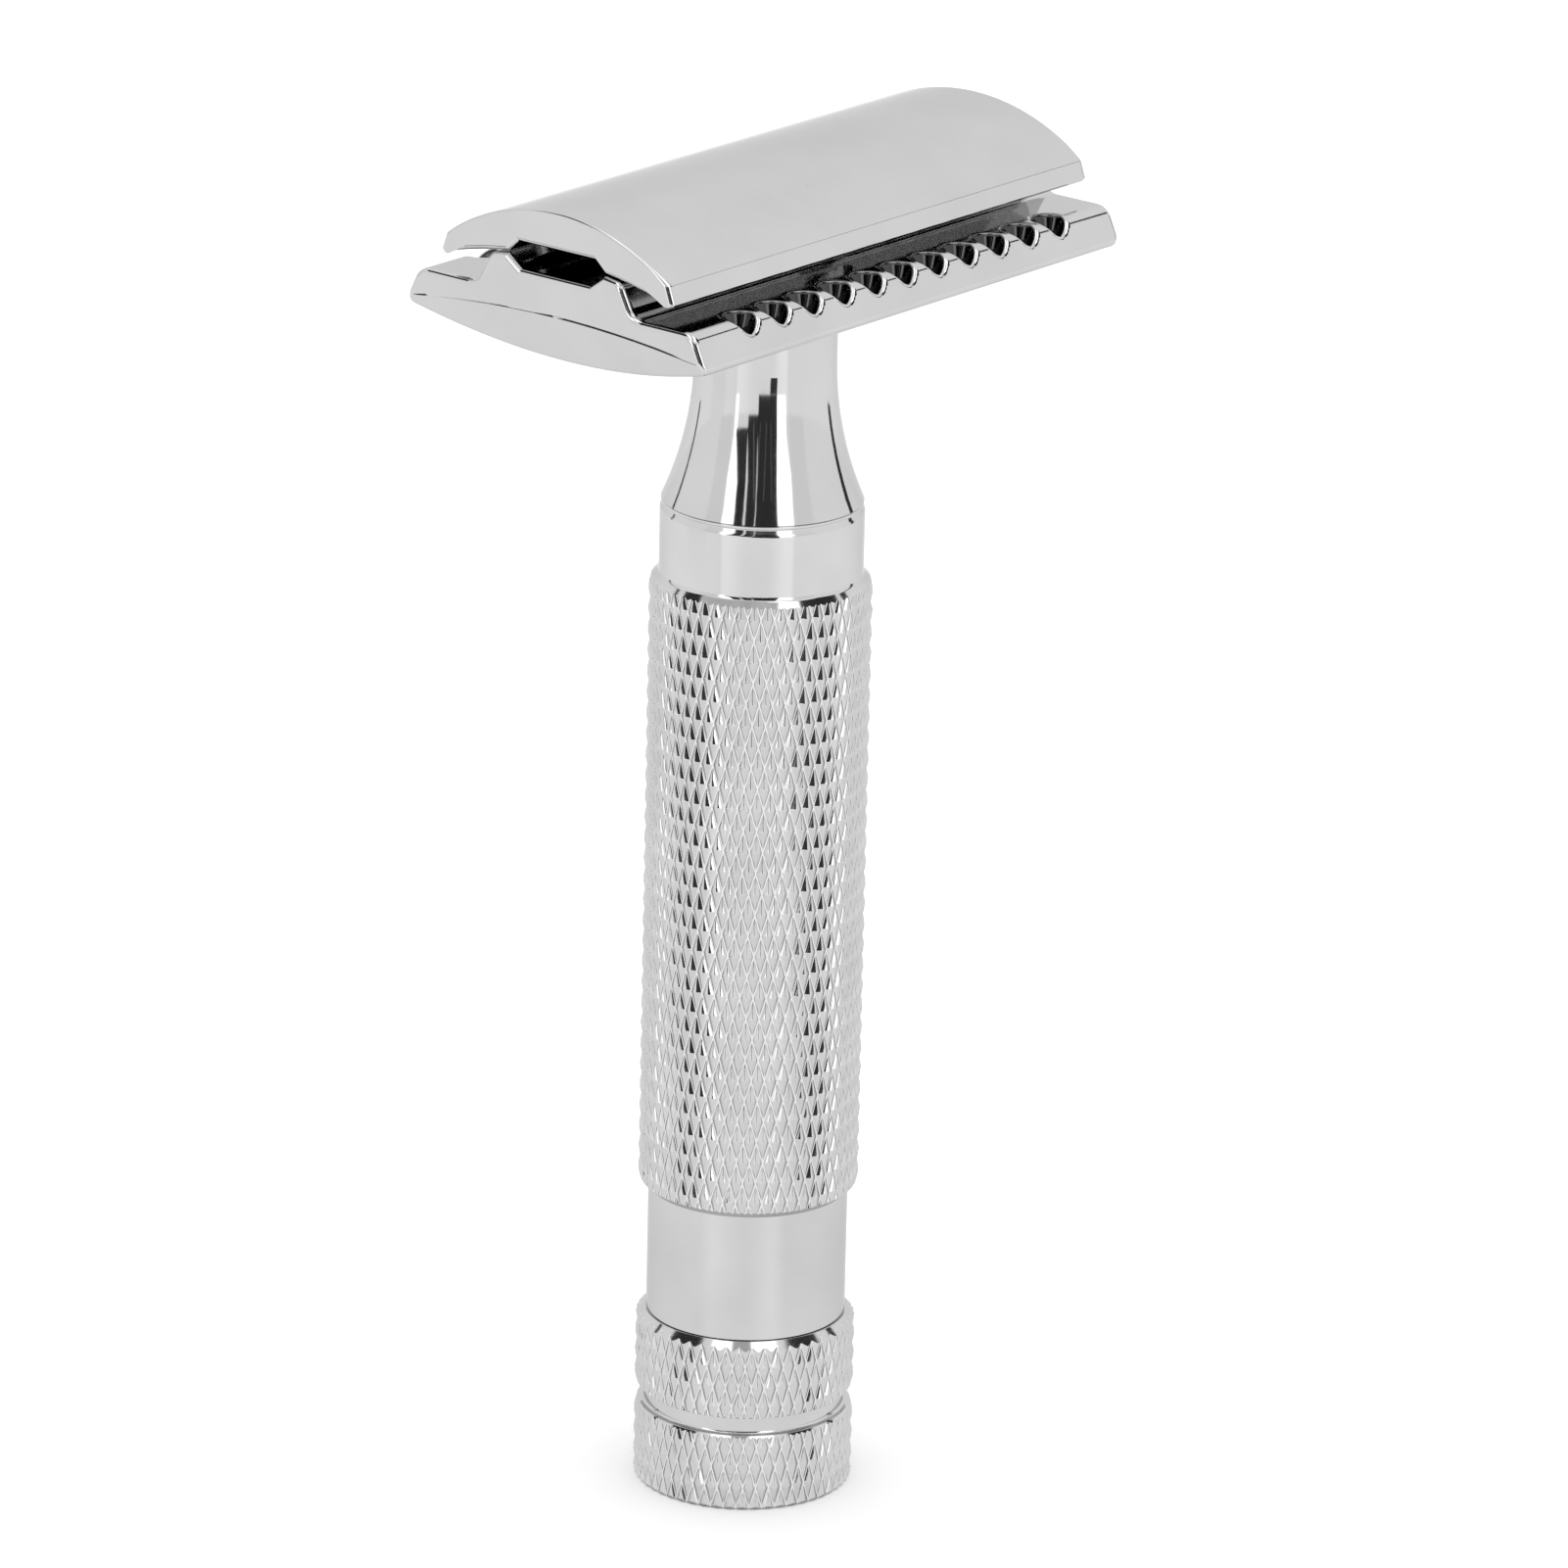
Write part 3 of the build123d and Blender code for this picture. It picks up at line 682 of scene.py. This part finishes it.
def stud_faces():
    count = round((HOLE_TOP_Z - STUD_FOOT) / THREAD_PITCH * THREAD_ROWS)
    heights = [STUD_FOOT + (HOLE_TOP_Z - STUD_FOOT) * k / count for k in range(count + 1)]
    small = 1e-3

    def corner(k, z):
        angle = TURN * k / THREAD_SIDES
        r = stud_radius(angle, z)
        slope = (stud_radius(angle, z + small) - stud_radius(angle, z - small)) / (2 * small)
        twist = (stud_radius(angle + small, z) - stud_radius(angle - small, z)) / (2 * small) / r
        return turned_corner((angle, z, r, -twist, -slope, 1))

    faces = []
    for k in range(THREAD_SIDES):
        for low, high in zip(heights, heights[1:]):
            faces.append([corner(k, low), corner(k + 1, low), corner(k + 1, high), corner(k, high)])
    for z, up in ((STUD_FOOT, -1), (HOLE_TOP_Z, 1)):
        disc = [(corner(k, z)[0], (0, 0, up)) for k in range(THREAD_SIDES)]
        faces.append(disc if up > 0 else disc[::-1])
    return faces


make_piece("threaded_cap_stud", stud_faces(), "cap", "cap_stud", stud_metal)

# ---------------------------------------------------------------- studio


def emitter(name, value):
    """A plain shadeless grey."""
    material = bpy.data.materials.new(name)
    material.use_nodes = True
    tree = material.node_tree
    tree.nodes.clear()
    light = tree.nodes.new("ShaderNodeEmission")
    light.inputs["Color"].default_value = (value, value, value, 1)
    output = tree.nodes.new("ShaderNodeOutputMaterial")
    tree.links.new(light.outputs["Emission"], output.inputs["Surface"])
    return material


def stage_mesh(name, points, polygons, material):
    mesh = bpy.data.meshes.new(name)
    mesh.from_pydata([[c * MM for c in p] for p in points], [], polygons)
    mesh.materials.append(material)
    made = bpy.data.objects.new(name, mesh)
    bpy.context.scene.collection.objects.link(made)
    return made


def reflected_only(card):
    """The chrome shows the card, but the camera doesn't see it and it neither lights nor shades the floor."""
    card.visible_camera = card.visible_diffuse = card.visible_shadow = False
    card.visible_transmission = card.visible_volume_scatter = False


def wall_card(name, outline, material, distance=400.0, steps=12):
    """A curved card round the razor, from a list of (left, right, z): angles from the camera and a height.

    Where two cards overlap, the one that has to be seen stands a little nearer."""
    points, polygons = [], []
    for left, right, z in outline:
        for k in range(steps + 1):
            turn = CAMERA_TURN + math.radians(left + (right - left) * k / steps)
            points.append((distance * math.cos(turn), distance * math.sin(turn), z))
    for row in range(len(outline) - 1):
        for k in range(steps):
            a = row * (steps + 1) + k
            polygons.append((a, a + 1, a + steps + 2, a + steps + 1))
    reflected_only(stage_mesh(name, points, polygons, material))


def between(value, low, high):
    """0 below low, 1 above high, and a smooth step from one to the other."""
    t = min(1.0, max(0.0, (value - low) / (high - low)))
    return t * t * (3 - 2 * t)


def plateau(value, start, full, fall, end):
    """A smooth step from 0 up to 1 between start and full, and back between fall and end."""
    return between(value, start, full) - between(value, fall, end)


def floor_glow(side, distance):
    """How bright the floor is in reflections, at an angle from the camera and a distance from the razor."""
    glow = 1.0 - 0.04 * between(distance, 20, 42) + 0.09 * between(distance, 60, 170)
    # Two bright sectors, which start beyond the knob's shadow and have soft edges near it
    far = between(distance, 25, 45)
    soft = 7 * (1 - between(distance, 60, 150))
    glow *= 1 + 0.14 * far * plateau(side, -46 - soft, -43 + soft, -40 - soft, -14 + soft)
    glow *= 1 + 0.16 * far * plateau(side, 6 - soft, 28 + soft, 34 - soft, 37 + soft)
    glow *= 1 + 0.03 * far * between(-side, 40, 60)
    return glow * (1 - 0.06 * between(distance, 205, 232) * plateau(side, -94, -86, -68, -62))


def sky_glow(side, height):
    """How bright the studio above the floor is in reflections, at an angle from the camera and a rise."""
    screens = plateau(side, -69, -67, -49, -47) + plateau(side, 37, 39, 58, 66)
    return 1 - 0.09 * screens * (1 - between(height, 30, 45))


def glow_mesh(name, rings):
    """A surface seen only in reflections, with a brightness at each point. rings hold (point, glow) pairs."""
    width = len(rings[0])
    polygons = [(row * width + k, row * width + (k + 1) % width,
                 (row + 1) * width + (k + 1) % width, (row + 1) * width + k)
                for row in range(len(rings) - 1) for k in range(width)]
    material = bpy.data.materials.new(name)
    material.use_nodes = True
    tree = material.node_tree
    tree.nodes.clear()
    value = tree.nodes.new("ShaderNodeAttribute")
    value.attribute_name = "glow"
    light = tree.nodes.new("ShaderNodeEmission")
    output = tree.nodes.new("ShaderNodeOutputMaterial")
    tree.links.new(value.outputs["Fac"], light.inputs["Strength"])
    tree.links.new(light.outputs["Emission"], output.inputs["Surface"])
    made = stage_mesh(name, [point for row in rings for point, _ in row], polygons, material)
    glow = made.data.attributes.new("glow", "FLOAT", "POINT")
    glow.data.foreach_set("value", [value for row in rings for _, value in row])
    reflected_only(made)


def polar(side, distance, z):
    """The place at an angle from the camera, a distance from the razor's axis and a height."""
    turn = CAMERA_TURN + math.radians(side)
    return distance * math.cos(turn), distance * math.sin(turn), z


SIDES = range(-180, 180)
FLOOR_RINGS = (9, 20, 26, 32, 38, 45, 60, 90, 120, 150, 180, 205, 214, 223, 232, 260, 850)
SKY_RINGS = (0, 6, 14, 20, 26, 31, 36, 42, 48, 60, 75, 89.9)
SKY_RADIUS = 850.0
FLOOR_Z, GLOW_Z, CARD_Z = -0.01, 0.02, 0.04  # the floor, and what lies on it in reflections

glow_mesh("floor_glow", [[(polar(side, distance, GLOW_Z), floor_glow(side, distance)) for side in SIDES]
                         for distance in FLOOR_RINGS])
sky_rings = []
for rise in SKY_RINGS:
    across, up = SKY_RADIUS * math.cos(math.radians(rise)), SKY_RADIUS * math.sin(math.radians(rise))
    sky_rings.append([(polar(side, across, up), sky_glow(side, rise)) for side in SIDES])
glow_mesh("sky_glow", sky_rings)

# The dark way out behind the camera, in three steps, with faint streaks in it and a light screen on each side
black, white, streak = emitter("black_card", 0.035), emitter("white_card", 2.0), emitter("streak_card", 0.16)
WALL_FOOT_Z, WALL_TOP_Z = 0.5, 395
for name, left, right, low in (
    ("wide", -40, -24, 70), ("middle", -24, -10, 44), ("narrow", -10, 19.6, WALL_FOOT_Z)
):
    wall_card(
        f"camera_side_{name}",
        [(left, right, low), (left, right, 80), (left * 0.9, right * 0.98, 130),
         (left * 0.83, right * 0.95, 180), (left * 0.83, right * 0.95, WALL_TOP_Z)],
        black,
    )
for k, (foot, head, width) in enumerate(((-16, -12, 1.2), (-6, -9, 0.8), (3, 1, 0.7), (11, 12, 0.6))):
    outline = [(foot, foot + width, 60), (head, head + width, 230)]
    wall_card(f"camera_side_streak_{k}", outline, streak, distance=399.0)
for name, foot, head in (("left_card", (-45, -39), (-48, -33)), ("right_card", (19, 33), (18, 37.5))):
    outline = [(*foot, WALL_FOOT_Z), (*foot, 80), (*head, 160), (*head, WALL_TOP_Z)]
    wall_card(name, outline, white, distance=401.0)
for name, middle, half in (("left_edge_card", -118, 1.5), ("right_edge_card", 118, 3.0)):
    wall_card(name, [(middle - half, middle + half, WALL_FOOT_Z), (middle - half, middle + half, 520)], black)


def floor_card(name, corners, material):
    """A card that lies on the floor, by the world X and Y of its corners."""
    points = [(x, y, CARD_Z) for x, y in corners]
    reflected_only(stage_mesh(name, points, [tuple(range(len(points)))], material))


# Dark parts of the floor: one that the crease on the head's end shows as a line, and one behind the camera
floor_card("end_crease_card", [(-124, 72), (-89, 72), (-89, 104), (-124, 104)], black)
shadow_corners = ((9, 300), (19.6, 300), (19.6, 400), (9, 400))
floor_card("camera_side_shadow", [polar(*corner, 0)[:2] for corner in shadow_corners], black)


def ceiling_card(name, forward, right, material, height=450.0):
    """A flat card overhead, between two distances towards the camera and two to its right."""
    f = Vector((math.cos(CAMERA_TURN), math.sin(CAMERA_TURN)))
    r = Vector((-math.sin(CAMERA_TURN), math.cos(CAMERA_TURN)))
    (near, far), (left_end, right_end) = forward, right
    corners = ((near, left_end), (far, left_end), (far, right_end), (near, right_end))
    points = [(*(f * a + r * b), height) for a, b in corners]
    reflected_only(stage_mesh(name, points, [(0, 1, 2, 3)], material))


# Lamps, screens and dark gaps overhead, which the grip's and the knob's shoulders show
grey = emitter("grey_card", 0.5)
ceiling_card("ceiling_grey", (60, 240), (-70, 40), grey)
ceiling_card("ceiling_white_left", (-60, 240), (-190, -70), white)
ceiling_card("ceiling_white_right", (-60, 240), (40, 190), white)
ceiling_card("ceiling_dark_left", (-150, 100), (-460, -190), black)
ceiling_card("ceiling_dark_right", (-150, 100), (190, 460), black)

floor_material, _, floor_shader = new_material("studio_floor")
floor_shader.inputs["Base Color"].default_value = (0.93, 0.93, 0.93, 1)
floor_shader.inputs["Roughness"].default_value = 0.9
floor_shader.inputs["Specular IOR Level"].default_value = 0.0
FLOOR_RADIUS, FLOOR_SIDES = 900.0, 96
stage_mesh(
    "studio_floor",
    [polar(360 * k / FLOOR_SIDES, FLOOR_RADIUS, FLOOR_Z) for k in range(FLOOR_SIDES)],
    [tuple(range(FLOOR_SIDES))],
    floor_material,
)

scene = bpy.context.scene
world = bpy.data.worlds.new("studio")
world.use_nodes = True
background = world.node_tree.nodes["Background"]
background.inputs["Color"].default_value = (1, 1, 1, 1)
background.inputs["Strength"].default_value = 1.0
scene.world = world

lamp = bpy.data.lights.new("floor_lamp", "SUN")
lamp.energy = 1.0
lamp.angle = math.radians(60)
lamp_object = bpy.data.objects.new("floor_lamp", lamp)
lamp_object.visible_glossy = False  # it whitens the floor, but the chrome doesn't show it
scene.collection.objects.link(lamp_object)
scene.view_settings.view_transform = "Standard"

# ---------------------------------------------------------------- camera

# It looks from the left of the front, a little downward, with a slight roll
turn, rise, roll = math.radians(50.978), math.radians(18.726), math.radians(1.288)
DISTANCE, AIM_RIGHT, AIM_Z = 648.18, 1.814, 48.81
back = Vector((-math.sin(turn) * math.cos(rise), -math.cos(turn) * math.cos(rise), math.sin(rise)))
right = Vector((math.cos(turn), -math.sin(turn), 0))
up = back.cross(right)
rolled_right = math.cos(roll) * right + math.sin(roll) * up
rolled_up = -math.sin(roll) * right + math.cos(roll) * up
target = right * AIM_RIGHT * MM + Vector((0, 0, AIM_Z * MM))
camera = bpy.data.cameras.new("camera")
camera.sensor_width = 36
camera.lens = 225.88
camera.clip_start, camera.clip_end = 0.05, 20
camera_object = bpy.data.objects.new("camera", camera)
turned = Matrix((rolled_right, rolled_up, back)).transposed()
camera_object.matrix_world = Matrix.Translation(target + back * DISTANCE * MM) @ turned.to_4x4()
scene.collection.objects.link(camera_object)
scene.camera = camera_object
